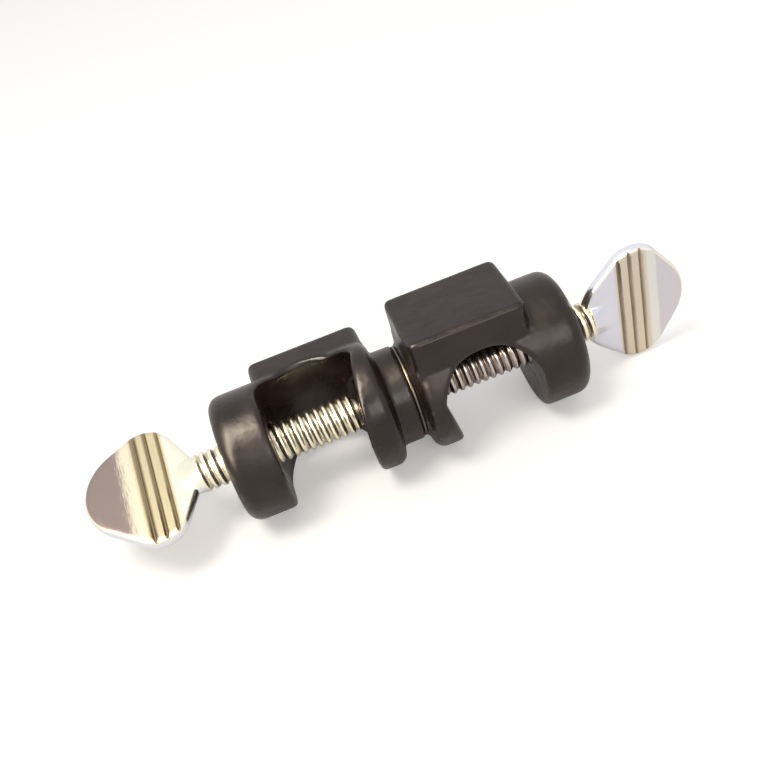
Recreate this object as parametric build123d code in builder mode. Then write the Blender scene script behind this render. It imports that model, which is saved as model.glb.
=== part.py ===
from build123d import *
from math import cos, hypot, radians, sin, sqrt, tan
import os

os.makedirs("parts", exist_ok=True)

# Swivel boss head clamp, in millimetres.
# Two cast clamp heads share one swivel axis, which runs along X.
# The right head stands with its block up (+Z); the left head is turned a quarter turn, block to +Y.
# The origin is the middle of the right jaw, on the axis of its thumb screw.
# A head's own sizes are measured out along the axis from its flange face, on the neck side.

# Jaw cut across a head: a round-topped slot with a lip that leans in over the rod
jaw_radius = 9.95
jaw_drop = 0.65
seat_height = 2.15
lip_lean = 11.0
seat_round = 1.0
jaw_edge_round = 0.8

# Cast barrel round the jaw, with a wall behind the seat, a boss for the screw and a neck
jaw_wall = 2.75
seat_wall = 3.15
boss_length = 9.55
inner_rim_round = 2.2
outer_rim_round = 2.8
neck_step = 3.1
left_neck_length = 4.5
right_neck_length = 0.85

# Rectangular block on the back of a head
block_setback = 0.1
block_overhang = 0.25
block_inset = 3.6
block_rise = 3.2
block_round = 1.0
block_foot_round = 0.8

# Thumb screws
thread_radius = 3.9
thread_clearance = 0.05
tip_chamfer = 0.9
shank_length = 32.6
web_length = 6.0
web_width = 13.0
web_end_thickness = 2.9
spade_middle = 41.7
spade_width = 27.2
spade_shoulder = 0.9
spade_corner_radius = 6.0
spade_end_radius = 10.9
left_spade_reach = 14.1
right_spade_reach = 11.0
left_spade_lean = 2.0
right_spade_lean = 0.0
spade_thickness = 2.6
spade_edge_round = 0.9
groove_spacing = 2.35
groove_width = 1.1
groove_depth = 0.45
groove_count = 3
left_screw_gap = 1.8
right_screw_gap = 1.1
left_screw_turn = -77.0
right_screw_turn = 6.0

# Swivel pivot between the heads
pivot_radius = 3.0
pivot_clearance = 0.05
bolt_head_radius = 5.2
bolt_head_thickness = 1.9
bolt_head_floor = 1.4
driver_slot_width = 1.2
driver_slot_depth = 0.8
nut_across_flats = 10.0
nut_thickness = 2.0
nut_floor = -0.3
bolt_end_margin = 0.2
recess_clearance = 0.5
spring_washer_radius = 5.0
spring_washer_thickness = 1.0
spring_washer_gap = 0.9
friction_washer_inset = 0.3
friction_washer_thickness = 0.5

# Head sizes that follow from the jaw and the walls round it
barrel_radius = jaw_radius + jaw_wall
neck_radius = barrel_radius - neck_step
jaw_centre = jaw_radius + seat_wall
boss_inner_face = jaw_centre + jaw_radius
barrel_length = boss_inner_face + boss_length
block_length = boss_inner_face + block_overhang
block_width = 2 * (barrel_radius - block_inset)
block_height = barrel_radius + block_rise
friction_washer_radius = neck_radius - friction_washer_inset

# Where the heads meet, worked out from the sizes above
right_face_x = -jaw_centre
joint_x = right_face_x - right_neck_length - friction_washer_thickness / 2
left_face_x = joint_x - friction_washer_thickness / 2 - left_neck_length
jaw_depth = 2 * barrel_radius

# The seat is the corner where the leaning lip leaves the round of the jaw
seat_depth = jaw_centre - sqrt(jaw_radius**2 - (seat_height + jaw_drop) ** 2)


def axis_plane(x, outward):
    """Plane square to the swivel axis at x, facing outward along the axis."""
    return Plane(origin=(x, 0, 0), x_dir=(0, 1, 0), z_dir=(outward, 0, 0))


def set_down(piece, plane):
    """Copy of a piece drawn at the origin, moved so that its own X and Z follow the plane's."""
    with BuildPart() as placed:
        with Locations(plane):
            add(piece.part)
    return placed


def on_barrel(edge):
    """True for an edge on the outside of a barrel, between its two rounded rims."""
    middle = edge @ 0.5
    clear_of_rims = inner_rim_round < middle.X < barrel_length - outer_rim_round
    return clear_of_rims and abs(hypot(middle.Y, middle.Z) - barrel_radius) < 0.01


def at_block_foot(edge):
    """True for an edge between the block and the barrel."""
    return on_barrel(edge) and abs((edge @ 0.5).Y) > 1 and (edge @ 0.5).Z > 0


def around_block_top(edge):
    """True for an edge around the flat outer face of the block."""
    return abs((edge @ 0.5).Z - block_height) < 0.01


def on_jaw(edge):
    """True for an edge where the jaw opens through the outside of the barrel."""
    return on_barrel(edge) and seat_depth < (edge @ 0.5).X < boss_inner_face + 0.01


def clamp_head(neck_length, recess_radius, recess_floor):
    """Cast head with its flange face at the origin, barrel out along X and block up along Z."""
    lip_end = seat_depth + (seat_height + jaw_depth) * tan(radians(lip_lean))
    with BuildPart() as head:
        # Barrel and neck, turned about the swivel axis
        with BuildSketch(Plane.XZ) as section:
            with BuildLine():
                Polyline(
                    (-neck_length, 0),
                    (-neck_length, neck_radius),
                    (0, neck_radius),
                    (0, barrel_radius),
                    (barrel_length, barrel_radius),
                    (barrel_length, 0),
                    close=True,
                )
            make_face()
            fillet(section.vertices().group_by(Axis.Y)[-1].sort_by(Axis.X)[0], radius=inner_rim_round)
            fillet(section.vertices().group_by(Axis.Y)[-1].sort_by(Axis.X)[-1], radius=outer_rim_round)
        revolve(axis=Axis.X)
        # Block on the back, blended into the barrel at its foot
        with BuildSketch(Plane.XZ):
            with Locations(((block_setback + block_length) / 2, block_height / 2)):
                Rectangle(block_length - block_setback, block_height)
        extrude(amount=block_width / 2, both=True)
        fillet(head.edges().filter_by(at_block_foot), radius=block_foot_round)
        fillet(head.edges().filter_by(around_block_top), radius=block_round)
        # Round-topped jaw slot, cut right through along the rod
        with BuildSketch(Plane.XZ) as jaw:
            with BuildLine():
                ThreePointArc(
                    (seat_depth, seat_height),
                    (jaw_centre, jaw_radius - jaw_drop),
                    (boss_inner_face, -jaw_drop),
                )
                Polyline(
                    (boss_inner_face, -jaw_drop),
                    (boss_inner_face, -jaw_depth),
                    (lip_end, -jaw_depth),
                    (seat_depth, seat_height),
                )
            make_face()
            fillet(jaw.vertices().sort_by(Axis.X)[0], radius=seat_round)
        extrude(amount=jaw_depth, both=True, mode=Mode.SUBTRACT)
        fillet(head.edges().filter_by(on_jaw), radius=jaw_edge_round)
        # Tapped hole for the thumb screw, through the outer boss
        with BuildSketch(Plane.YZ.offset(jaw_centre)):
            Circle(thread_radius + thread_clearance)
        extrude(amount=barrel_length, mode=Mode.SUBTRACT)
        # Pivot bore through the neck, and the round recess behind the seat
        with BuildSketch(Plane.YZ.offset(-neck_length)):
            Circle(pivot_radius + pivot_clearance)
        extrude(amount=neck_length + jaw_centre, mode=Mode.SUBTRACT)
        with BuildSketch(Plane.YZ.offset(recess_floor)):
            Circle(recess_radius)
        extrude(amount=jaw_centre - recess_floor, mode=Mode.SUBTRACT)
    return head


right_casting = clamp_head(
    right_neck_length, bolt_head_radius + recess_clearance, bolt_head_floor
)
right_head = set_down(
    right_casting, Plane(origin=(right_face_x, 0, 0), x_dir=(1, 0, 0), z_dir=(0, 0, 1))
)
right_head.part.label = "right_head"
export_step(right_head.part, "parts/right_head.step")

nut_corner_radius = nut_across_flats / 2 / cos(radians(30))
left_casting = clamp_head(left_neck_length, nut_corner_radius + recess_clearance, nut_floor)
left_head = set_down(
    left_casting, Plane(origin=(left_face_x, 0, 0), x_dir=(-1, 0, 0), z_dir=(0, 1, 0))
)
left_head.part.label = "left_head"
export_step(left_head.part, "parts/left_head.step")


def thumb_screw(spade_reach, spade_lean):
    """One-piece thumb screw out along X: round shank, forged web and a flat grooved spade."""
    corner_offset = spade_width / 2 - spade_corner_radius
    shoulder_x = spade_middle + spade_shoulder

    # Spade: hull of the neck, two shoulders and a wide round end, softened all round.
    # The forging may lean to one side: the end by the whole lean, the shoulders by half of it.
    with BuildPart() as spade:
        with BuildSketch(Plane.XY):
            with Locations((shank_length + thread_radius, 0)):
                Circle(thread_radius)
            for side in (1, -1):
                with Locations((shoulder_x, side * corner_offset + spade_lean / 2)):
                    Circle(spade_corner_radius)
            with Locations((spade_middle + spade_reach - spade_end_radius, spade_lean)):
                Circle(spade_end_radius)
            make_hull()
        extrude(amount=spade_thickness / 2, both=True)
        fillet(spade.edges().filter_by(Plane.XY), radius=spade_edge_round)
        # V grooves across both faces
        for side in (1, -1):
            with BuildSketch(Plane.XZ):
                with Locations((spade_middle, side * spade_thickness / 2)):
                    with GridLocations(groove_spacing, 0, groove_count, 1):
                        Polygon(
                            (-groove_width / 2, 0),
                            (groove_width / 2, 0),
                            (0, -side * groove_depth),
                            align=None,
                        )
            extrude(amount=spade_width, both=True, mode=Mode.SUBTRACT)

    with BuildPart() as screw:
        with BuildSketch(Plane.YZ):
            Circle(thread_radius)
        extrude(amount=shank_length)
        chamfer(screw.edges().group_by(Axis.X)[0], length=tip_chamfer)
        # Web that flattens the shank into the spade
        with BuildSketch(Plane.YZ.offset(shank_length)):
            Circle(thread_radius)
        with BuildSketch(Plane.YZ.offset(shank_length + web_length)):
            Ellipse(web_width / 2, web_end_thickness / 2)
        loft()
        add(spade.part)
    return screw


def face_direction(turn, outward):
    """Direction in which a spade's flat face looks once its screw is turned in its boss."""
    return Vector(0, -outward * cos(radians(turn)), -outward * sin(radians(turn)))


left_blank = thumb_screw(left_spade_reach, left_spade_lean)
left_screw = set_down(
    left_blank,
    Plane(
        origin=(left_face_x - seat_depth - left_screw_gap, 0, 0),
        x_dir=(-1, 0, 0),
        z_dir=face_direction(left_screw_turn, -1),
    ),
)
left_screw.part.label = "left_thumb_screw"
export_step(left_screw.part, "parts/left_thumb_screw.step")

right_blank = thumb_screw(right_spade_reach, right_spade_lean)
right_screw = set_down(
    right_blank,
    Plane(
        origin=(right_face_x + seat_depth + right_screw_gap, 0, 0),
        x_dir=(1, 0, 0),
        z_dir=face_direction(right_screw_turn, 1),
    ),
)
right_screw.part.label = "right_thumb_screw"
export_step(right_screw.part, "parts/right_thumb_screw.step")

# Swivel bolt: its flat head lies in the right recess, its end comes through the nut
bolt_seat_x = right_face_x + bolt_head_floor
washer_seat_x = left_face_x - nut_floor
nut_seat_x = washer_seat_x - spring_washer_thickness
bolt_end_x = nut_seat_x - nut_thickness - bolt_end_margin
with BuildPart() as swivel_bolt:
    with BuildSketch(axis_plane(bolt_seat_x, 1)):
        Circle(bolt_head_radius)
    extrude(amount=bolt_head_thickness)
    with BuildSketch(axis_plane(bolt_seat_x + bolt_head_thickness, 1)):
        Rectangle(driver_slot_width, 2 * bolt_head_radius)
    extrude(amount=-driver_slot_depth, mode=Mode.SUBTRACT)
    with BuildSketch(axis_plane(bolt_seat_x, -1)):
        Circle(pivot_radius)
    extrude(amount=bolt_seat_x - bolt_end_x)
swivel_bolt.part.label = "swivel_bolt"
export_step(swivel_bolt.part, "parts/swivel_bolt.step")

with BuildPart() as spring_washer:
    with BuildSketch(axis_plane(washer_seat_x, -1)):
        Circle(spring_washer_radius)
        Circle(pivot_radius + pivot_clearance, mode=Mode.SUBTRACT)
        with Locations((0, spring_washer_radius)):
            Rectangle(spring_washer_gap, 2 * spring_washer_radius, mode=Mode.SUBTRACT)
    extrude(amount=spring_washer_thickness)
spring_washer.part.label = "spring_washer"
export_step(spring_washer.part, "parts/spring_washer.step")

with BuildPart() as swivel_nut:
    with BuildSketch(axis_plane(nut_seat_x, -1)):
        RegularPolygon(nut_corner_radius, 6)
        Circle(pivot_radius + pivot_clearance, mode=Mode.SUBTRACT)
    extrude(amount=nut_thickness)
swivel_nut.part.label = "swivel_nut"
export_step(swivel_nut.part, "parts/swivel_nut.step")

with BuildPart() as friction_washer:
    with BuildSketch(axis_plane(joint_x - friction_washer_thickness / 2, 1)):
        Circle(friction_washer_radius)
        Circle(pivot_radius + pivot_clearance, mode=Mode.SUBTRACT)
    extrude(amount=friction_washer_thickness)
friction_washer.part.label = "friction_washer"
export_step(friction_washer.part, "parts/friction_washer.step")
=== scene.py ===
"""Dresses the swivel boss head clamp: enamelled castings, plated thumb screws and fasteners."""

import logging
import math
from dataclasses import dataclass
from enum import Enum, IntEnum

import bmesh
import bpy
from mathutils import Matrix, Vector


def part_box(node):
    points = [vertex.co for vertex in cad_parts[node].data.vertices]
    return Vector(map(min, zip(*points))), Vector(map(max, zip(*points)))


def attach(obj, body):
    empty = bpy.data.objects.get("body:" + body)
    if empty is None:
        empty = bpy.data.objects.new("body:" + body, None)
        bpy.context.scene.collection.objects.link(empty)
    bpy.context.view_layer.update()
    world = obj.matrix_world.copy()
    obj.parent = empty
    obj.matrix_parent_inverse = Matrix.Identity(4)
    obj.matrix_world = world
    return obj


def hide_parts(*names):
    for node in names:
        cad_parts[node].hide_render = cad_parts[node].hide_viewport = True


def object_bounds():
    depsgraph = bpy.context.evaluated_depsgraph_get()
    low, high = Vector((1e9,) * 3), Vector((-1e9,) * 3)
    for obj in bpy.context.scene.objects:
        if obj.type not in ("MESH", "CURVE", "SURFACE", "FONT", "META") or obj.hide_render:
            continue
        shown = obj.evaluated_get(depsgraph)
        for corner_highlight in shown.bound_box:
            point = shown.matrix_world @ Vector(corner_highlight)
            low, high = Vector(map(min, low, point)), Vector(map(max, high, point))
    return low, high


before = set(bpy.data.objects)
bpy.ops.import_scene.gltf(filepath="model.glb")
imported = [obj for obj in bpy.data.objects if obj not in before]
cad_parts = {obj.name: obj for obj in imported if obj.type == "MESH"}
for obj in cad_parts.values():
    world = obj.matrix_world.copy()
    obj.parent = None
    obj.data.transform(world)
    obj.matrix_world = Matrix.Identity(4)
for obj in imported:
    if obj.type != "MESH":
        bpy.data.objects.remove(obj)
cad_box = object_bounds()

# Shapes are worked out in millimetres and set down in the frame's metres.
MM = 0.001
# Points nearer to each other than this are one point, in mm.
WELD = 0.001
# Points nearer to a cutting plane than this lie on it, in mm.
ON_PLANE = 0.0001
# Faces that meet at less than this angle are one face, in radians.
LEVEL = 0.001
# A Mix node repeats its names for each kind of value, so its colours go by number.
UNDER = 6
OVER = 7
MIXED = 2

log = logging.getLogger("boss_head_clamp")


class Slot(Enum):
    """The record's material slots."""

    CASTING = "enamelled_casting"
    SCREW = "plated_screw"
    FASTENER = "zinc_fastener"
    WASHER = "washer_steel"


class Side(IntEnum):
    """Which way a piece points along the clamp."""

    LEFT = -1
    RIGHT = 1


def linear(colour: str) -> tuple[float, float, float, float]:
    """Turns an sRGB hex colour into a linear one.

    Args:
        colour: Six hex digits after a hash sign.

    Returns:
        Linear red, green, blue and an alpha of one.
    """
    parts = [int(colour[i : i + 2], 16) / 255 for i in (1, 3, 5)]
    curve = [c / 12.92 if c <= 0.04045 else ((c + 0.055) / 1.055) ** 2.4 for c in parts]
    return curve[0], curve[1], curve[2], 1.0


def add_node(
    tree: bpy.types.NodeTree,
    kind: str,
    settings: dict | None = None,
    links: dict | None = None,
) -> bpy.types.Node:
    """Adds one shader node.

    Args:
        tree: The node tree that takes it.
        kind: The node's type name.
        settings: Values by property name, and then by input name or number.
        links: Output sockets by the input name or number that they feed.

    Returns:
        The new node.
    """
    node = tree.nodes.new(kind)
    for name, value in (settings or {}).items():
        if isinstance(name, int) or name in node.inputs:
            node.inputs[name].default_value = value
        else:
            setattr(node, name, value)
    for name, source in (links or {}).items():
        tree.links.new(source, node.inputs[name])
    return node


def new_material(name: str) -> tuple[bpy.types.Material, bpy.types.NodeTree]:
    """Makes an empty node material.

    Args:
        name: The finish's plain name.

    Returns:
        The material and its empty tree.
    """
    material = bpy.data.materials.new(name)
    material.use_nodes = True
    material.node_tree.nodes.clear()
    return material, material.node_tree


def skinned(mesh: bpy.types.Mesh, voxel: float, rounds: int) -> bpy.types.Mesh:
    """Fuses overlapping closed shapes into one even skin and softens its edges.

    Args:
        mesh: The shapes, in mm.
        voxel: Spacing of the new skin, in mm.
        rounds: Smoothing rounds.

    Returns:
        The new mesh, in mm.
    """
    blank = bpy.data.objects.new("blank", mesh)
    bpy.context.scene.collection.objects.link(blank)
    skin = blank.modifiers.new("skin", "REMESH")
    skin.mode = "VOXEL"
    skin.voxel_size = voxel
    soften = blank.modifiers.new("soften", "SMOOTH")
    soften.factor = 0.5
    soften.iterations = rounds
    bpy.context.view_layer.update()
    graph = bpy.context.evaluated_depsgraph_get()
    result = bpy.data.meshes.new_from_object(blank.evaluated_get(graph))
    bpy.data.objects.remove(blank)
    return result


def set_down(
    name: str,
    mesh: bpy.types.Mesh,
    place: Matrix,
    body: str,
    material: bpy.types.Material,
) -> bpy.types.Object:
    """Places a finished mesh in the frame as a piece.

    Args:
        name: The piece's name.
        mesh: Its mesh, in the place's own units.
        place: Turns the mesh's units and axes into the frame's.
        body: The CAD body that it rides on.
        material: Its finish.

    Returns:
        The piece.
    """
    mesh.transform(place)
    mesh.name = name
    mesh.materials.clear()
    mesh.materials.append(material)
    for face in mesh.polygons:
        face.use_smooth = True
    piece = bpy.data.objects.new(name, mesh)
    bpy.context.scene.collection.objects.link(piece)
    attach(piece, body)
    log.info("%s: %d faces on %s", name, len(mesh.polygons), body)
    return piece


@dataclass
class ClampHead:
    """One enamelled cast head, with the soft corners that sand casting and paint leave.

    Its sizes are in mm. The neck is its length up to the face where the boss begins.
    """

    node: str
    body: str
    outward: Side
    back: Vector
    neck: float
    voxel: float = 0.3
    softening: int = 12
    barrel_radius: float = 12.7
    barrel_gap: float = 0.15
    block_start: float = 0.1
    block_length: float = 23.2
    block_width: float = 18.2
    corner_round: float = 2.0

    def round_block(self, mesh: bpy.types.Mesh) -> None:
        """Draws the block's four upright corners in to a round.

        Args:
            mesh: The casting's first skin in mm, changed in place.
        """
        low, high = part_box(self.node)
        start = low[0] if self.outward is Side.RIGHT else high[0]
        flange = start / MM + self.outward * self.neck
        side = self.back.cross(Vector((1, 0, 0)))
        half_length = self.block_length / 2 - self.corner_round
        half_width = self.block_width / 2 - self.corner_round
        middle = flange + self.outward * (self.block_start + self.block_length / 2)
        clear = self.barrel_radius + self.barrel_gap
        for vert in mesh.vertices:
            height = vert.co.dot(self.back)
            across = vert.co.dot(side)
            along = vert.co.x - middle
            over_length = abs(along) - half_length
            over_width = abs(across) - half_width
            on_block = height > 0 and math.hypot(height, across) > clear
            beyond = math.hypot(over_length, over_width)
            if not on_block or over_length < 0 or over_width < 0 or beyond < self.corner_round:
                continue
            draw = self.corner_round / beyond
            vert.co.x = middle + math.copysign(half_length + over_length * draw, along)
            vert.co += side * (math.copysign(half_width + over_width * draw, across) - across)

    def build(self, enamel: bpy.types.Material) -> None:
        """Makes the casting from a merged copy of its CAD solid.

        Args:
            enamel: The casting's finish.
        """
        bm = bmesh.new()
        bm.from_mesh(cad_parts[self.node].data)
        bmesh.ops.scale(bm, vec=(1 / MM,) * 3, verts=bm.verts)
        bmesh.ops.remove_doubles(bm, verts=bm.verts, dist=WELD)
        solid = bpy.data.meshes.new(self.node + "_solid")
        bm.to_mesh(solid)
        bm.free()
        first = skinned(solid, self.voxel, 0)
        self.round_block(first)
        skin = skinned(first, self.voxel, self.softening)
        piece = set_down(
            self.node + "_casting", skin, Matrix.Scale(MM, 4), self.body, enamel
        )
        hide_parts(self.node)


@dataclass
class ThumbScrew:
    """A plated thumb screw, drawn in mm with its tip at the origin and its axis along X.

    The turn is the spade's, in degrees. The reach is from the spade's middle groove to its end,
    and the lean is how far that end is off the axis.
    """

    node: str
    body: str
    outward: Side
    turn: float
    reach: float
    lean: float
    shank: float = 32.6
    pitch: float = 1.65
    root_radius: float = 3.35
    crest_radius: float = 3.87
    crest_round: float = 0.02
    flank_round: float = 0.10
    turn_steps: int = 48
    spare_turns: int = 2
    turn_join: float = 0.01
    thread_start: float = 0.9
    thread_overlap: float = 0.3
    thread_sharp: float = 50.0
    point_radius: float = 2.9
    point_length: float = 2.0
    point_slope: float = 0.6
    point_round: float = 0.4
    point_steps: int = 3
    web_width: float = 15.0
    web_end: float = 2.3
    web_length: float = 6.5
    web_stations: int = 12
    web_steps: int = 64
    spade_middle: float = 41.7
    spade_width: float = 27.2
    spade_sharp: float = 28.0
    shoulder: float = 0.9
    corner_radius: float = 6.0
    corner_steps: int = 96
    end_radius: float = 10.9
    thickness: float = 2.6
    rim_round: float = 0.95
    rim_steps: int = 5
    rim_angle: float = 1.2
    groove_spacing: float = 2.35
    groove_width: float = 0.95
    groove_flat: float = 0.12
    groove_depth: float = 0.35
    groove_count: int = 3
    voxel: float = 0.2
    softening: int = 3

    def facing(self) -> Vector:
        """Gives the direction in which the spade's flat face looks."""
        turn = math.radians(self.turn)
        return Vector((0, -self.outward * math.cos(turn), -self.outward * math.sin(turn)))

    def place(self) -> Matrix:
        """Works out where the screw stands.

        Returns:
            The turn and shift from the screw's own mm to the frame's metres.
        """
        low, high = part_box(self.node)
        tip = low[0] if self.outward is Side.RIGHT else high[0]
        along = Vector((self.outward, 0, 0))
        face = self.facing()
        across = face.cross(along)
        axes = Matrix((along, across, face)).transposed().to_4x4()
        return Matrix.Translation((tip, 0, 0)) @ axes @ Matrix.Scale(MM, 4)

    def grooves(self) -> list[float]:
        """Gives the places of the grooves along the screw, from the middle one."""
        first = (1 - self.groove_count) / 2
        return [(first + i) * self.groove_spacing for i in range(self.groove_count)]

    def tooth(self) -> list[tuple[float, float]]:
        """Draws one tooth of the thread, with a rounded crest.

        Returns:
            Its points in order, each a share of the pitch and a radius.
        """
        flank = (
            (0.08, self.root_radius),
            (0.30, self.crest_radius - self.flank_round),
            (0.38, self.crest_radius - self.crest_round),
            (0.46, self.crest_radius),
        )
        return [(0.0, self.root_radius), *flank, *((1 - part, r) for part, r in reversed(flank))]

    def spade_blank(self, bm: bmesh.types.BMesh) -> None:
        """Adds the flat spade: the hull of four round corners, with a rounded rim.

        Args:
            bm: Takes the spade.
        """
        side = self.spade_width / 2 - self.corner_radius
        rounds = (
            (self.shank + self.crest_radius, 0, self.crest_radius),
            (self.spade_middle + self.shoulder, self.lean / 2 + side, self.corner_radius),
            (self.spade_middle + self.shoulder, self.lean / 2 - side, self.corner_radius),
            (self.spade_middle + self.reach - self.end_radius, self.lean, self.end_radius),
        )
        for x, y, radius in rounds:
            for level in (-self.thickness / 2, self.thickness / 2):
                centre = Matrix.Translation((x, y, level))
                bmesh.ops.create_circle(
                    bm, segments=self.corner_steps, radius=radius, matrix=centre
                )
        hull = bmesh.ops.convex_hull(bm, input=bm.verts[:])
        inside = [v for v in hull["geom_interior"] if isinstance(v, bmesh.types.BMVert)]
        bmesh.ops.delete(bm, geom=inside, context="VERTS")
        loose = [e for e in bm.edges if not e.link_faces]
        bmesh.ops.delete(bm, geom=loose, context="EDGES")
        bmesh.ops.dissolve_limit(bm, angle_limit=LEVEL, verts=bm.verts[:], edges=bm.edges[:])
        rim = [e for e in bm.edges if e.is_manifold and e.calc_face_angle() > self.rim_angle]
        bmesh.ops.bevel(
            bm,
            geom=rim,
            offset=self.rim_round,
            affect="EDGES",
            segments=self.rim_steps,
            profile=0.5,
            material=-1,
            clamp_overlap=True,
        )

    def web_blank(self, bm: bmesh.types.BMesh) -> None:
        """Adds the web that flattens the round shank into the spade.

        Args:
            bm: Takes the web.
        """
        quarter = Matrix.Rotation(math.radians(90), 4, "Y")
        loops = []
        for i in range(self.web_stations + 1):
            part = i / self.web_stations
            flare = part * part
            hollow = part * (2 - part)
            half_width = self.crest_radius + flare * (self.web_width / 2 - self.crest_radius)
            half_height = self.crest_radius + hollow * (self.web_end / 2 - self.crest_radius)
            shape = Matrix.Translation((self.shank + part * self.web_length, 0, 0))
            shape = shape @ Matrix.Diagonal((1, half_width, half_height, 1)) @ quarter
            ring = bmesh.ops.create_circle(bm, segments=self.web_steps, radius=1, matrix=shape)
            # A dict keeps the edges in order, so that every run gives the same mesh
            loops.append(list(dict.fromkeys(e for v in ring["verts"] for e in v.link_edges)))
        for near, far in zip(loops, loops[1:]):
            bmesh.ops.bridge_loops(bm, edges=near + far)
        bmesh.ops.holes_fill(bm, edges=loops[0] + loops[-1], sides=0)

    def cut_grooves(self, mesh: bpy.types.Mesh) -> None:
        """Presses V grooves across both faces of the spade.

        Args:
            mesh: The skinned spade, changed in place.
        """
        bm = bmesh.new()
        bm.from_mesh(mesh)
        half = self.groove_width / 2
        flat = self.groove_flat / 2
        middles = [self.spade_middle + groove for groove in self.grooves()]
        for middle in middles:
            for shift in (-half, -flat, flat, half):
                bmesh.ops.bisect_plane(
                    bm,
                    geom=bm.verts[:] + bm.edges[:] + bm.faces[:],
                    dist=ON_PLANE,
                    plane_co=(middle + shift, 0, 0),
                    plane_no=(1, 0, 0),
                )
        for vert in bm.verts:
            for middle in middles:
                off = max(abs(vert.co.x - middle) - flat, 0) / (half - flat)
                if off < 1:
                    limit = self.thickness / 2 - self.groove_depth * (1 - off)
                    vert.co.z = max(-limit, min(limit, vert.co.z))
        bm.to_mesh(mesh)
        bm.free()

    def spade(self) -> bpy.types.Mesh:
        """Builds the spade and its web.

        Returns:
            Their mesh, in the screw's own mm.
        """
        bm = bmesh.new()
        self.spade_blank(bm)
        blank = bpy.data.meshes.new(self.node + "_blank")
        bm.to_mesh(blank)
        bm.clear()
        self.web_blank(bm)
        bm.from_mesh(blank)
        bmesh.ops.recalc_face_normals(bm, faces=bm.faces[:])
        bm.to_mesh(blank)
        bm.free()
        mesh = skinned(blank, self.voxel, self.softening)
        self.cut_grooves(mesh)
        return mesh

    def wind_thread(self, bm: bmesh.types.BMesh) -> None:
        """Adds the thread: a row of teeth spun into a helix, and cut off at both ends.

        Args:
            bm: Takes the thread.
        """
        turns = math.ceil(self.shank / self.pitch) + 1
        last = None
        for turn in range(-self.spare_turns, turns + self.spare_turns):
            for part, radius in self.tooth():
                vert = bm.verts.new(((turn + part) * self.pitch, 0, radius))
                if last is not None:
                    bm.edges.new((last, vert))
                last = vert
        bmesh.ops.spin(
            bm,
            geom=bm.verts[:] + bm.edges[:],
            cent=(0, 0, 0),
            axis=(1, 0, 0),
            dvec=(self.pitch / self.turn_steps, 0, 0),
            angle=math.radians(360),
            steps=self.turn_steps,
            use_merge=False,
        )
        bmesh.ops.remove_doubles(bm, verts=bm.verts[:], dist=self.turn_join)
        for end, outward in ((self.thread_start, -1), (self.shank + self.thread_overlap, 1)):
            bmesh.ops.bisect_plane(
                bm,
                geom=bm.verts[:] + bm.edges[:] + bm.faces[:],
                dist=ON_PLANE,
                plane_co=(end, 0, 0),
                plane_no=(outward, 0, 0),
                clear_outer=True,
            )

    def threaded_shank(self) -> bpy.types.Mesh:
        """Builds the threaded shank with its plain point.

        Returns:
            Its mesh, in the screw's own mm.
        """
        bm = bmesh.new()
        self.wind_thread(bm)
        # The first turn is turned down to a cone
        for vert in bm.verts:
            radius = math.hypot(vert.co.y, vert.co.z)
            limit = self.point_radius + vert.co.x * self.point_slope
            if radius > limit:
                vert.co.y *= limit / radius
                vert.co.z *= limit / radius
        bmesh.ops.holes_fill(bm, edges=[e for e in bm.edges if e.is_boundary], sides=0)
        # Plain point
        quarter = Matrix.Rotation(math.radians(90), 4, "Y")
        point = bmesh.ops.create_cone(
            bm,
            cap_ends=True,
            segments=self.turn_steps,
            radius1=self.point_radius,
            radius2=self.point_radius,
            depth=self.point_length,
            matrix=Matrix.Translation((self.point_length / 2, 0, 0)) @ quarter,
        )["verts"]
        front = {v for v in point if abs(v.co.x) < WELD}
        bmesh.ops.bevel(
            bm,
            geom=[e for e in bm.edges if front.issuperset(e.verts)],
            offset=self.point_round,
            affect="EDGES",
            segments=self.point_steps,
            profile=0.5,
            material=-1,
        )
        bmesh.ops.recalc_face_normals(bm, faces=bm.faces[:])
        mesh = bpy.data.meshes.new(self.node + "_thread")
        bm.to_mesh(mesh)
        bm.free()
        return mesh

    def build(self, plate: bpy.types.Material) -> None:
        """Makes the screw's two pieces, the spade and the threaded shank.

        Args:
            plate: The screw's finish.
        """
        place = self.place()
        spade = set_down(self.node + "_spade", self.spade(), place, self.body, plate)
        spade.data.set_sharp_from_angle(angle=math.radians(self.spade_sharp))
        shank = set_down(
            self.node + "_shank", self.threaded_shank(), place, self.body, plate
        )
        shank.data.set_sharp_from_angle(angle=math.radians(self.thread_sharp))
        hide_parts(self.node)


@dataclass
class SwivelFasteners:
    """The bolt, nut and washers in the neck: CAD solids with softened edges, in mm."""

    edge: float = 0.15
    edge_steps: int = 2
    edge_angle: float = 50.0

    def dress(self, node: str, material: bpy.types.Material) -> None:
        """Finishes one fastener.

        Args:
            node: The CAD node.
            material: Its finish.
        """
        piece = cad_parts[node]
        piece.data.materials.clear()
        piece.data.materials.append(material)
        weld = piece.modifiers.new("weld", "WELD")
        weld.merge_threshold = WELD * MM
        bevel = piece.modifiers.new("edge", "BEVEL")
        bevel.width = self.edge * MM
        bevel.segments = self.edge_steps
        bevel.limit_method = "ANGLE"
        bevel.angle_limit = math.radians(self.edge_angle)
        log.info("%s dressed", node)

    def build(self, zinc: bpy.types.Material, steel: bpy.types.Material) -> None:
        """Finishes all four fasteners.

        Args:
            zinc: Finish of the bolt, nut and spring washer.
            steel: Finish of the friction washer.
        """
        for node in ("swivel_bolt", "swivel_nut", "spring_washer"):
            self.dress(node, zinc)
        self.dress("friction_washer", steel)


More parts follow.
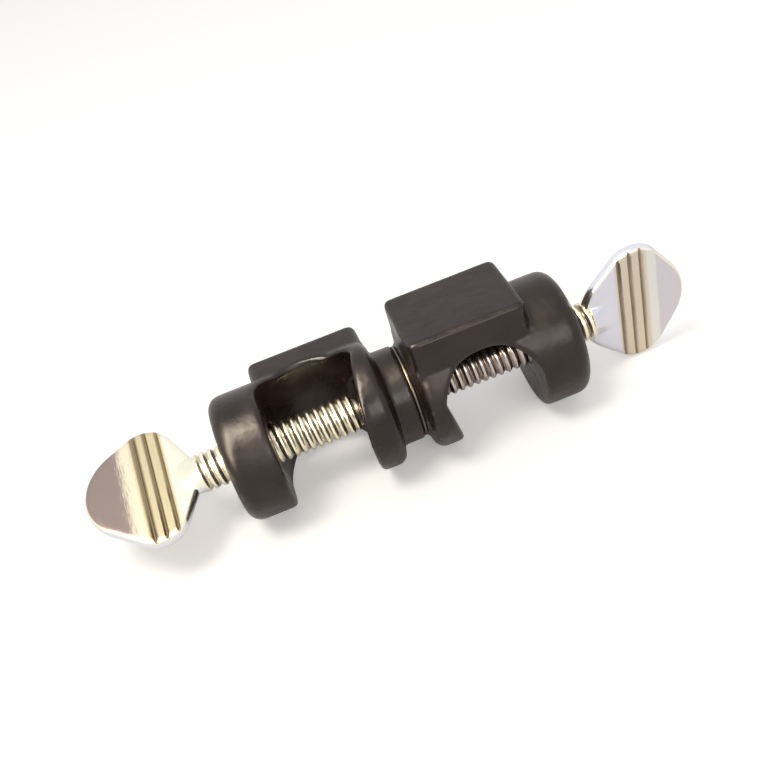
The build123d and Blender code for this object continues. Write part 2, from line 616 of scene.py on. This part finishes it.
@dataclass(frozen=True)
class BlackEnamel:
    """Semi-gloss black stoving enamel sprayed on a sand casting.

    The eye sees a warm brown-black with soft sheen and a slightly uneven skin over the
    casting's grain; a painted highlight makes the outer corners a lighter brown. Sizes and heights
    are in mm.
    """

    thick: str = "#1A0F0C"
    thin: str = "#271814"
    thin_from: float = 0.35
    thin_to: float = 0.65
    # The corners' colour and its steps are a painted highlight
    corner_highlight: str = "#5E4A3E"
    corner_highlight_from: float = 0.52
    corner_highlight_to: float = 0.60
    corner_highlight_most: float = 0.4
    patch_size: float = 7.0
    dull_from: float = 0.3
    dull_to: float = 0.7
    glossy: float = 0.22
    dull: float = 0.40
    grain_size: float = 3.2
    grain_height: float = 0.22
    grain_strength: float = 0.6
    peel_size: float = 0.9
    peel_height: float = 0.02
    peel_strength: float = 0.3
    ior: float = 1.42

    def colour(
        self, tree: bpy.types.NodeTree, patch: bpy.types.NodeSocket
    ) -> bpy.types.NodeSocket:
        """Mixes the enamel's colour from its thickness, with a painted highlight on the casting's
        corners.

        Args:
            tree: The material's tree.
            patch: The broad unevenness of the coat.

        Returns:
            The colour.
        """
        depth = add_node(
            tree,
            "ShaderNodeMapRange",
            {"From Min": self.thin_from, "From Max": self.thin_to},
            {"Value": patch},
        )
        body = add_node(
            tree,
            "ShaderNodeMix",
            {"data_type": "RGBA", UNDER: linear(self.thick), OVER: linear(self.thin)},
            {0: depth.outputs[0]},
        )
        # Painted highlight on the outer corners, where the surface is most convex
        bend = add_node(tree, "ShaderNodeNewGeometry").outputs["Pointiness"]
        corner_highlight = add_node(
            tree,
            "ShaderNodeMapRange",
            {
                "From Min": self.corner_highlight_from,
                "From Max": self.corner_highlight_to,
                "To Max": self.corner_highlight_most,
            },
            {"Value": bend},
        )
        return add_node(
            tree,
            "ShaderNodeMix",
            {"data_type": "RGBA", OVER: linear(self.corner_highlight)},
            {0: corner_highlight.outputs[0], UNDER: body.outputs[MIXED]},
        ).outputs[MIXED]

    def relief(
        self, tree: bpy.types.NodeTree, place: bpy.types.NodeSocket
    ) -> bpy.types.NodeSocket:
        """Raises the casting's grain under the paint, and the finer peel of the paint itself.

        Both are drawn somewhat coarser than real ones, as coarse as they need to show.

        Args:
            tree: The material's tree.
            place: The point on the object.

        Returns:
            The bent surface direction.
        """
        grain = add_node(
            tree,
            "ShaderNodeTexNoise",
            {"Scale": 1 / (self.grain_size * MM), "Detail": 2.0},
            {"Vector": place},
        )
        grain_bump = add_node(
            tree,
            "ShaderNodeBump",
            {"Strength": self.grain_strength, "Distance": self.grain_height * MM},
            {"Height": grain.outputs[0]},
        )
        peel = add_node(
            tree,
            "ShaderNodeTexNoise",
            {"Scale": 1 / (self.peel_size * MM), "Detail": 1.0},
            {"Vector": place},
        )
        return add_node(
            tree,
            "ShaderNodeBump",
            {"Strength": self.peel_strength, "Distance": self.peel_height * MM},
            {"Height": peel.outputs[0], "Normal": grain_bump.outputs[0]},
        ).outputs[0]

    def material(self) -> bpy.types.Material:
        """Builds the enamel.

        Returns:
            The finished material.
        """
        material, tree = new_material("black_stoving_enamel")
        place = add_node(tree, "ShaderNodeTexCoord").outputs["Object"]
        patch = add_node(
            tree,
            "ShaderNodeTexNoise",
            {"Scale": 1 / (self.patch_size * MM), "Detail": 3.0},
            {"Vector": place},
        ).outputs[0]
        colour = self.colour(tree, patch)
        gloss = add_node(
            tree,
            "ShaderNodeMapRange",
            {
                "From Min": self.dull_from,
                "From Max": self.dull_to,
                "To Min": self.glossy,
                "To Max": self.dull,
            },
            {"Value": patch},
        )
        shader = add_node(
            tree,
            "ShaderNodeBsdfPrincipled",
            {"IOR": self.ior, "Metallic": 0.0},
            {
                "Base Color": colour,
                "Roughness": gloss.outputs[0],
                "Normal": self.relief(tree, place),
            },
        )
        add_node(tree, "ShaderNodeOutputMaterial", None, {"Surface": shader.outputs[0]})
        return material


@dataclass(frozen=True)
class BrightNickel:
    """Bright nickel plate on a forged steel screw, tumbled and then ground across the spade.

    The eye sees near-white metal with cream and mauve casts from segment to segment, and fine
    grinding lines along the grooves. Brown dirt and painted shade darken the grooves and the
    thread's roots, a painted highlight and a painted reflection of the floor lighten the spade's
    rim, and painted shade makes the right shank duller where it stands inside its jaw. Sizes are
    in mm, and places along the screw are from the spade's middle groove.
    """

    name: str
    screw: ThumbScrew
    middle: float
    inner: str
    land: str
    near: str
    far: str
    near_end: float
    blend: float
    ragged: float
    bands: tuple[float, float, float]
    shank: str
    # The shank's colour inside its jaw, where painted shade darkens it
    jaw_shaded_shank: str
    # How strongly dirt and painted shade darken the thread's roots and the grooves
    root_grime_and_shade: float
    groove_grime_and_shade: float
    # The rim's two colours are a painted highlight next to the face and a painted reflection of the
    # pale floor along the side
    rim: str = "#F8F1DC"
    edge: str = "#E4E5EE"
    # Dirt and painted shade in the grooves and the thread's roots
    grime_and_shade: str = "#75634F"
    land_fade: float = 0.7
    near_from: float = 0.6
    near_to: float = 0.4
    grime_and_shade_outside: float = 0.25
    grime_and_shade_inside: float = 0.2
    rim_highlight_from: float = 0.08
    rim_highlight_to: float = 0.25
    edge_reflection_from: float = 0.35
    edge_reflection_to: float = 0.7
    shank_fade: float = 0.1
    # Where the painted shade inside the jaw starts, and how softly it fades in
    jaw_shade_start: float = 12.2
    jaw_shade_fade: float = 0.4
    crest_clean: float = 0.2
    root_full: float = 0.1
    line_size: float = 0.12
    line_stretch: float = 0.05
    line_height: float = 0.01
    line_strength: float = 0.25
    glossy: float = 0.16
    dull: float = 0.30

    def lay(
        self,
        tree: bpy.types.NodeTree,
        under: bpy.types.NodeSocket | str,
        colour: bpy.types.NodeSocket | str,
        where: bpy.types.NodeSocket,
        start: float,
        end: float,
        most: float = 1.0,
    ) -> bpy.types.NodeSocket:
        """Lays one colour over another, where a distance passes a soft step.

        Args:
            tree: The material's tree.
            under: The colour underneath, as a socket or in sRGB hex.
            colour: The colour on top, as a socket or in sRGB hex.
            where: The distance, in mm.
            start: Where the top colour begins to show.
            end: Where it shows in full.
            most: How much of it shows there.

        Returns:
            The layered colour.
        """
        part = add_node(
            tree,
            "ShaderNodeMapRange",
            {
                "interpolation_type": "SMOOTHSTEP",
                "From Min": start,
                "From Max": end,
                "To Max": most,
            },
            {"Value": where},
        )
        settings = {"data_type": "RGBA"}
        links = {0: part.outputs[0]}
        for number, shade in ((UNDER, under), (OVER, colour)):
            if isinstance(shade, str):
                settings[number] = linear(shade)
            else:
                links[number] = shade
        return add_node(tree, "ShaderNodeMix", settings, links).outputs[MIXED]

    def segments(
        self,
        tree: bpy.types.NodeTree,
        along: bpy.types.NodeSocket,
        lines: bpy.types.NodeSocket,
    ) -> bpy.types.NodeSocket:
        """Colours the spade's segments, from the neck outwards.

        Args:
            tree: The material's tree.
            along: The place along the screw.
            lines: The grinding lines, which make the last border ragged.

        Returns:
            The colour.
        """
        ragged = add_node(
            tree,
            "ShaderNodeMath",
            {"operation": "MULTIPLY_ADD", 1: self.ragged, 2: -self.ragged / 2},
            {0: lines},
        )
        rough_along = add_node(
            tree, "ShaderNodeMath", {"operation": "ADD"}, {0: along, 1: ragged.outputs[0]}
        ).outputs[0]
        lands = self.screw.groove_count / 2 * self.screw.groove_spacing
        far_start = self.near_end - self.blend / 2
        colour = self.lay(tree, self.inner, self.land, along, -lands, self.land_fade - lands)
        colour = self.lay(
            tree, colour, self.near, along, lands - self.near_from, lands + self.near_to
        )
        return self.lay(tree, colour, self.far, rough_along, far_start, far_start + self.blend)

    def grooved(
        self,
        tree: bpy.types.NodeTree,
        colour: bpy.types.NodeSocket,
        place: bpy.types.NodeSocket,
        along: bpy.types.NodeSocket,
    ) -> bpy.types.NodeSocket:
        """Lays dirt and painted shade in the grooves, and a painted highlight and painted
        reflection on the rim.

        Args:
            tree: The material's tree.
            colour: The spade's colour so far.
            place: The point on the object.
            along: The place along the screw.

        Returns:
            The colour.
        """
        height = add_node(
            tree,
            "ShaderNodeVectorMath",
            {"operation": "DOT_PRODUCT", 1: self.screw.facing() / MM},
            {0: place},
        ).outputs["Value"]
        # The height that each point had before the grooves were pressed in
        height = add_node(tree, "ShaderNodeMath", {"operation": "ABSOLUTE"}, {0: height}).outputs[0]
        for groove, band in zip(self.screw.grooves(), self.bands):
            off = add_node(tree, "ShaderNodeMath", {"operation": "SUBTRACT", 1: groove}, {0: along})
            off = add_node(tree, "ShaderNodeMath", {"operation": "ABSOLUTE"}, {0: off.outputs[0]})
            # Dirt and painted shade in the groove
            colour = self.lay(
                tree,
                colour,
                self.grime_and_shade,
                off.outputs[0],
                band + self.grime_and_shade_outside,
                band - self.grime_and_shade_inside,
                self.groove_grime_and_shade,
            )
            pressed = add_node(
                tree,
                "ShaderNodeMapRange",
                {
                    "From Min": self.screw.groove_width / 2,
                    "From Max": self.screw.groove_flat / 2,
                    "To Max": self.screw.groove_depth,
                },
                {"Value": off.outputs[0]},
            )
            height = add_node(
                tree, "ShaderNodeMath", {"operation": "ADD"}, {0: height, 1: pressed.outputs[0]}
            ).outputs[0]
        # Painted highlight and painted reflection: the rim is creamy next to the face and white
        # along the side
        face = self.screw.thickness / 2
        colour = self.lay(tree, colour, self.rim, height, face - self.rim_highlight_from, face - self.rim_highlight_to)
        return self.lay(
            tree, colour, self.edge, height, face - self.edge_reflection_from, face - self.edge_reflection_to
        )

    def threaded(
        self,
        tree: bpy.types.NodeTree,
        place: bpy.types.NodeSocket,
        along: bpy.types.NodeSocket,
    ) -> bpy.types.NodeSocket:
        """Colours the shank, creamier than the spade, with dirt and painted shade in the thread's
        roots and painted shade inside the jaw.

        Args:
            tree: The material's tree.
            place: The point on the object.
            along: The place along the screw.

        Returns:
            The colour.
        """
        flat = add_node(
            tree,
            "ShaderNodeVectorMath",
            {"operation": "MULTIPLY", 1: (0.0, 1 / MM, 1 / MM)},
            {0: place},
        )
        radius = add_node(
            tree, "ShaderNodeVectorMath", {"operation": "LENGTH"}, {0: flat.outputs[0]}
        ).outputs["Value"]
        # Painted shade on the shank where it stands inside its jaw
        jaw_shaded = self.lay(
            tree,
            self.shank,
            self.jaw_shaded_shank,
            along,
            self.jaw_shade_fade - self.jaw_shade_start,
            -self.jaw_shade_start,
        )
        # Dirt and painted shade in the thread's roots
        return self.lay(
            tree,
            jaw_shaded,
            self.grime_and_shade,
            radius,
            self.screw.crest_radius - self.crest_clean,
            self.screw.root_radius + self.root_full,
            self.root_grime_and_shade,
        )

    def material(self) -> bpy.types.Material:
        """Builds the plate.

        Returns:
            The finished material.
        """
        material, tree = new_material(self.name)
        place = add_node(tree, "ShaderNodeTexCoord").outputs["Object"]
        parts = add_node(tree, "ShaderNodeSeparateXYZ", None, {0: place})
        outward = self.screw.outward
        along = add_node(
            tree,
            "ShaderNodeMath",
            {"operation": "MULTIPLY_ADD", 1: outward / MM, 2: -outward * self.middle},
            {0: parts.outputs[0]},
        ).outputs[0]
        # Grinding lines run along the grooves, so they change quickly along the screw only.
        # Real ones are finer; these are drawn as coarse as they need to show.
        stretched = add_node(
            tree,
            "ShaderNodeMapping",
            {"Scale": (1.0, self.line_stretch, self.line_stretch)},
            {"Vector": place},
        )
        lines = add_node(
            tree,
            "ShaderNodeTexNoise",
            {"Scale": 1 / (self.line_size * MM), "Detail": 2.0},
            {"Vector": stretched.outputs[0]},
        ).outputs[0]
        colour = self.segments(tree, along, lines)
        colour = self.grooved(tree, colour, place, along)
        thread = self.threaded(tree, place, along)
        shank_start = self.screw.shank - self.screw.spade_middle
        colour = self.lay(
            tree, colour, thread, along, shank_start + self.shank_fade, shank_start
        )
        gloss = add_node(
            tree,
            "ShaderNodeMapRange",
            {"To Min": self.glossy, "To Max": self.dull},
            {"Value": lines},
        )
        scratch = add_node(
            tree,
            "ShaderNodeBump",
            {"Strength": self.line_strength, "Distance": self.line_height * MM},
            {"Height": lines},
        )
        shader = add_node(
            tree,
            "ShaderNodeBsdfPrincipled",
            {"Metallic": 1.0},
            {"Base Color": colour, "Roughness": gloss.outputs[0], "Normal": scratch.outputs[0]},
        )
        add_node(tree, "ShaderNodeOutputMaterial", None, {"Surface": shader.outputs[0]})
        return material


@dataclass(frozen=True)
class TurnedSteel:
    """Turned or stamped steel, zinc plated or left bare.

    The eye sees grey metal with fine rings round the axis and cloudy plating. Sizes are in
    mm, and a ring's height is a share of its width.
    """

    name: str
    bright: str
    dull: str
    roughness: float
    smoother: float = 0.08
    rougher: float = 0.12
    cloud_size: float = 1.6
    ring_size: float = 0.25
    ring_height: float = 0.1
    ring_strength: float = 0.2

    def material(self) -> bpy.types.Material:
        """Builds the steel.

        Returns:
            The finished material.
        """
        material, tree = new_material(self.name)
        place = add_node(tree, "ShaderNodeTexCoord").outputs["Object"]
        cloud = add_node(
            tree,
            "ShaderNodeTexNoise",
            {"Scale": 1 / (self.cloud_size * MM), "Detail": 3.0},
            {"Vector": place},
        ).outputs[0]
        colour = add_node(
            tree,
            "ShaderNodeMix",
            {"data_type": "RGBA", UNDER: linear(self.bright), OVER: linear(self.dull)},
            {0: cloud},
        )
        gloss = add_node(
            tree,
            "ShaderNodeMapRange",
            {"To Min": self.roughness - self.smoother, "To Max": self.roughness + self.rougher},
            {"Value": cloud},
        )
        # Rings left by turning, as coarse as they need to show
        flat = add_node(
            tree, "ShaderNodeVectorMath", {"operation": "MULTIPLY", 1: (0.0, 1.0, 1.0)}, {0: place}
        )
        radius = add_node(
            tree, "ShaderNodeVectorMath", {"operation": "LENGTH"}, {0: flat.outputs[0]}
        ).outputs["Value"]
        rings = add_node(
            tree, "ShaderNodeMath", {"operation": "PINGPONG", 1: self.ring_size * MM}, {0: radius}
        )
        bump = add_node(
            tree,
            "ShaderNodeBump",
            {"Strength": self.ring_strength, "Distance": self.ring_height},
            {"Height": rings.outputs[0]},
        )
        shader = add_node(
            tree,
            "ShaderNodeBsdfPrincipled",
            {"Metallic": 1.0},
            {
                "Base Color": colour.outputs[MIXED],
                "Roughness": gloss.outputs[0],
                "Normal": bump.outputs[0],
            },
        )
        add_node(tree, "ShaderNodeOutputMaterial", None, {"Surface": shader.outputs[0]})
        return material


@dataclass(frozen=True)
class Lamp:
    """One soft rectangular lamp, in metres and watts. A gloss-only lamp shows in gloss alone."""

    name: str
    place: Vector
    width: float
    height: float
    power: float
    colour: str
    gloss_only: bool = False

    def hang(self, aim: Vector) -> None:
        """Adds the lamp.

        Args:
            aim: The point that it looks at, in metres.
        """
        data = bpy.data.lights.new(self.name, "AREA")
        data.shape = "RECTANGLE"
        data.size = self.width
        data.size_y = self.height
        data.energy = self.power
        data.color = linear(self.colour)[:3]
        lamp = bpy.data.objects.new(self.name, data)
        lamp.location = self.place
        lamp.rotation_euler = (aim - self.place).to_track_quat("-Z", "Y").to_euler()
        lamp.visible_diffuse = not self.gloss_only
        bpy.context.scene.collection.objects.link(lamp)


@dataclass(frozen=True)
class Studio:
    """Pale floor, soft lamps and the camera at the photograph's viewing angle.

    The camera's place is in mm and its turn in degrees. The floor's sizes are in metres.
    """

    camera_place: tuple[float, float, float] = (-32.25, -165.66, 128.72)
    camera_turn: tuple[float, float, float] = (51.545, 14.657, -16.629)
    lens: float = 50.64
    sensor: float = 36.0
    shift: tuple[float, float] = (-0.0090, -0.0016)
    nearest: float = 0.005
    floor_colour: str = "#F4F4F4"
    floor_roughness: float = 0.9
    floor_glow: float = 0.22
    floor_gap: float = 0.0002
    floor_half: float = 3.0
    floor_cells: int = 4
    backdrop: str = "#FFFFFF"
    ambient: float = 0.6
    lamp_aim: tuple[float, float, float] = (-0.014, 0.0, 0.0)

    def camera(self) -> None:
        """Adds the camera."""
        data = bpy.data.cameras.new("camera")
        data.lens = self.lens
        data.sensor_width = self.sensor
        data.shift_x, data.shift_y = self.shift
        data.clip_start = self.nearest
        camera = bpy.data.objects.new("camera", data)
        camera.location = Vector(self.camera_place) * MM
        camera.rotation_euler = [math.radians(a) for a in self.camera_turn]
        bpy.context.scene.collection.objects.link(camera)
        bpy.context.scene.camera = camera

    def floor(self) -> None:
        """Adds the floor under the lowest point of the clamp."""
        bm = bmesh.new()
        level = cad_box[0][2] - self.floor_gap
        bmesh.ops.create_grid(
            bm,
            x_segments=self.floor_cells,
            y_segments=self.floor_cells,
            size=self.floor_half,
            matrix=Matrix.Translation((0, 0, level)),
        )
        mesh = bpy.data.meshes.new("floor")
        bm.to_mesh(mesh)
        bm.free()
        material, tree = new_material("matt_white_floor")
        paint = add_node(
            tree,
            "ShaderNodeBsdfPrincipled",
            {
                "Base Color": linear(self.floor_colour),
                "Roughness": self.floor_roughness,
                "Specular IOR Level": 0.0,
            },
        )
        # The camera sees the floor a little whiter, as bright as the backdrop
        rays = add_node(tree, "ShaderNodeLightPath")
        white = add_node(
            tree,
            "ShaderNodeMath",
            {"operation": "MULTIPLY", 1: self.floor_glow},
            {0: rays.outputs["Is Camera Ray"]},
        )
        glow = add_node(tree, "ShaderNodeEmission", None, {"Strength": white.outputs[0]})
        both = add_node(
            tree, "ShaderNodeAddShader", None, {0: paint.outputs[0], 1: glow.outputs[0]}
        )
        add_node(tree, "ShaderNodeOutputMaterial", None, {"Surface": both.outputs[0]})
        mesh.materials.append(material)
        floor = bpy.data.objects.new("floor", mesh)
        bpy.context.scene.collection.objects.link(floor)

    def world(self) -> None:
        """Surrounds the camera's view and gloss with white, and the rest with a plain level."""
        world = bpy.data.worlds.new("studio")
        bpy.context.scene.world = world
        world.use_nodes = True
        tree = world.node_tree
        tree.nodes.clear()
        rays = add_node(tree, "ShaderNodeLightPath").outputs
        seen = add_node(
            tree,
            "ShaderNodeMath",
            {"operation": "MAXIMUM"},
            {0: rays["Is Camera Ray"], 1: rays["Is Glossy Ray"]},
        )
        seen = add_node(
            tree,
            "ShaderNodeMath",
            {"operation": "MAXIMUM"},
            {0: seen.outputs[0], 1: rays["Is Transmission Ray"]},
        )
        level = add_node(
            tree,
            "ShaderNodeMapRange",
            {"To Min": self.ambient, "To Max": 1.0},
            {"Value": seen.outputs[0]},
        )
        sky = add_node(
            tree,
            "ShaderNodeBackground",
            {"Color": linear(self.backdrop)},
            {"Strength": level.outputs[0]},
        )
        add_node(tree, "ShaderNodeOutputWorld", None, {"Surface": sky.outputs[0]})

    def build(self) -> None:
        """Sets the whole studio up."""
        bpy.context.scene.view_settings.view_transform = "Standard"
        self.world()
        self.floor()
        self.camera()
        key = Lamp(
            name="key",
            place=Vector((-0.22, -0.12, 0.60)),
            width=0.25,
            height=0.25,
            power=1.8,
            colour="#FFF6EA",
        )
        front = Lamp(
            name="front",
            place=Vector((0.12, -0.60, 0.38)),
            width=0.30,
            height=0.30,
            power=1.3,
            colour="#FFF6EA",
        )
        window = Lamp(
            name="window",
            place=Vector((-0.31, -0.15, 0.44)),
            width=0.30,
            height=0.72,
            power=10.5,
            colour="#FFEDD2",
            gloss_only=True,
        )
        for lamp in (key, front, window):
            lamp.hang(Vector(self.lamp_aim))


def main() -> None:
    """Builds the clamp's pieces and the studio round them."""
    logging.basicConfig(level=logging.INFO, format="%(message)s")
    enamel = BlackEnamel().material()
    zinc = TurnedSteel("zinc_plated_steel", "#B9B7B2", "#8E8B86", roughness=0.34).material()
    steel = TurnedSteel("spring_steel", "#7D746A", "#3F3832", roughness=0.30).material()
    Studio().build()
    up = Vector((0, 0, 1))
    back = Vector((0, 1, 0))
    ClampHead("left_head", "left_side", Side.LEFT, back, neck=4.5).build(enamel)
    ClampHead("right_head", "right_side", Side.RIGHT, up, neck=0.85).build(enamel)
    left = ThumbScrew(
        node="left_thumb_screw",
        body="left_screw",
        outward=Side.LEFT,
        turn=-77.0,
        reach=14.1,
        lean=2.0,
    )
    right = ThumbScrew(
        node="right_thumb_screw",
        body="right_screw",
        outward=Side.RIGHT,
        turn=6.0,
        reach=11.0,
        lean=0.0,
    )
    left_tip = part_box(left.node)[1][0] / MM
    right_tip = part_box(right.node)[0][0] / MM
    left_plate = BrightNickel(
        name="bright_nickel_left",
        screw=left,
        middle=left_tip - left.spade_middle,
        bands=(0.3, 0.45, 0.7),
        inner="#F4F0DE",
        land="#D9CCA8",
        near="#EFE6CC",
        far="#978984",
        near_end=5.9,
        blend=2.2,
        ragged=4.0,
        shank="#F7EFD6",
        jaw_shaded_shank="#F7EFD6",
        root_grime_and_shade=0.4,
        groove_grime_and_shade=0.68,
    )
    right_plate = BrightNickel(
        name="bright_nickel_right",
        screw=right,
        middle=right_tip + right.spade_middle,
        bands=(0.15, 0.15, 0.15),
        inner="#D8DAE6",
        land="#D2C7B6",
        near="#DDDFDA",
        far="#CFCAD2",
        near_end=5.4,
        blend=0.5,
        ragged=0.6,
        shank="#F7EFD6",
        jaw_shaded_shank="#C4B9B4",
        root_grime_and_shade=0.8,
        groove_grime_and_shade=0.85,
    )
    left.build(left_plate.material())
    right.build(right_plate.material())
    SwivelFasteners().build(zinc, steel)


if __name__ == "__main__":
    main()
